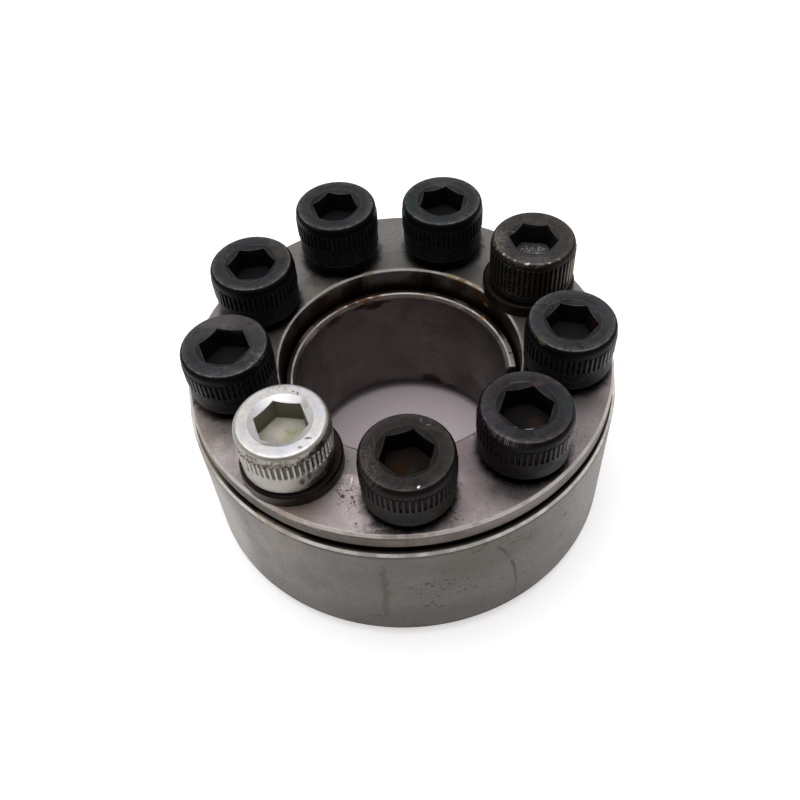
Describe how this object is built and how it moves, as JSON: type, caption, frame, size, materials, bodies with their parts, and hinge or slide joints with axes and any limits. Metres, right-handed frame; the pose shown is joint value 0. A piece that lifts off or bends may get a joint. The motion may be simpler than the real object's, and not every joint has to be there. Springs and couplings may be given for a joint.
{
  "type": "keyless locking assembly",
  "caption": "Double-taper keyless locking assembly that clamps a hub on a plain shaft, with socket head cap screws, shown loosened.",
  "frame": {"origin": "centre of the rear face of the rear thrust ring, which it stands on", "axes": "+Z along the shaft axis towards the screw heads; -Y towards screw 1; +X to the right of it"},
  "size_m": [0.05, 0.05, 0.0293],
  "materials": {
    "ground_steel": "satin",
    "black_oxide_steel": "satin",
    "zinc_plated_steel": "satin",
    "worn_black_steel": "matte",
    "dark_washer_steel": "satin"
  },
  "bodies": {
    "clamping_rings": {"rear_thrust_ring": "ground_steel", "outer_ring": "ground_steel", "inner_ring": "ground_steel"},
    "front_ring": {"front_thrust_ring": "ground_steel", "push_off_washer_2": "dark_washer_steel", "push_off_washer_7": "dark_washer_steel"},
    "screw_1": {"cap_screw_1": "black_oxide_steel"},
    "screw_2": {"cap_screw_2": "zinc_plated_steel"},
    "screw_3": {"cap_screw_3": "black_oxide_steel"},
    "screw_4": {"cap_screw_4": "black_oxide_steel"},
    "screw_5": {"cap_screw_5": "black_oxide_steel"},
    "screw_6": {"cap_screw_6": "black_oxide_steel"},
    "screw_7": {"cap_screw_7": "worn_black_steel"},
    "screw_8": {"cap_screw_8": "black_oxide_steel"},
    "screw_9": {"cap_screw_9": "black_oxide_steel"}
  },
  "joints": [
    {"name": "front_ring_travel", "type": "slide", "parent": "clamping_rings", "child": "front_ring", "axis": [0, 0, 1], "range_m": [-0.001, 0.004]},
    {"name": "screw_1_turn", "type": "hinge", "parent": "front_ring", "child": "screw_1", "pos_m": [0, -0.0191, 0.0215], "axis": [0, 0, 1], "range_deg": [-360, 1440]},
    {"name": "screw_2_turn", "type": "hinge", "parent": "front_ring", "child": "screw_2", "pos_m": [-0.01228, -0.01463, 0.0215], "axis": [0, 0, 1], "range_deg": [-360, 1440]},
    {"name": "screw_3_turn", "type": "hinge", "parent": "front_ring", "child": "screw_3", "pos_m": [-0.01881, -0.00332, 0.0215], "axis": [0, 0, 1], "range_deg": [-360, 1440]},
    {"name": "screw_4_turn", "type": "hinge", "parent": "front_ring", "child": "screw_4", "pos_m": [-0.01654, 0.00955, 0.0215], "axis": [0, 0, 1], "range_deg": [-360, 1440]},
    {"name": "screw_5_turn", "type": "hinge", "parent": "front_ring", "child": "screw_5", "pos_m": [-0.00653, 0.01795, 0.0215], "axis": [0, 0, 1], "range_deg": [-360, 1440]},
    {"name": "screw_6_turn", "type": "hinge", "parent": "front_ring", "child": "screw_6", "pos_m": [0.00653, 0.01795, 0.0215], "axis": [0, 0, 1], "range_deg": [-360, 1440]},
    {"name": "screw_7_turn", "type": "hinge", "parent": "front_ring", "child": "screw_7", "pos_m": [0.01654, 0.00955, 0.0215], "axis": [0, 0, 1], "range_deg": [-360, 1440]},
    {"name": "screw_8_turn", "type": "hinge", "parent": "front_ring", "child": "screw_8", "pos_m": [0.01881, -0.00332, 0.0215], "axis": [0, 0, 1], "range_deg": [-360, 1440]},
    {"name": "screw_9_turn", "type": "hinge", "parent": "front_ring", "child": "screw_9", "pos_m": [0.01228, -0.01463, 0.0215], "axis": [0, 0, 1], "range_deg": [-360, 1440]}
  ],
  "couplings": [
    {"joint": "screw_1_turn", "follows": "front_ring_travel", "rad_per_m": 6283.2},
    {"joint": "screw_2_turn", "follows": "front_ring_travel", "rad_per_m": 6283.2},
    {"joint": "screw_3_turn", "follows": "front_ring_travel", "rad_per_m": 6283.2},
    {"joint": "screw_4_turn", "follows": "front_ring_travel", "rad_per_m": 6283.2},
    {"joint": "screw_5_turn", "follows": "front_ring_travel", "rad_per_m": 6283.2},
    {"joint": "screw_6_turn", "follows": "front_ring_travel", "rad_per_m": 6283.2},
    {"joint": "screw_7_turn", "follows": "front_ring_travel", "rad_per_m": 6283.2},
    {"joint": "screw_8_turn", "follows": "front_ring_travel", "rad_per_m": 6283.2},
    {"joint": "screw_9_turn", "follows": "front_ring_travel", "rad_per_m": 6283.2}
  ]
}
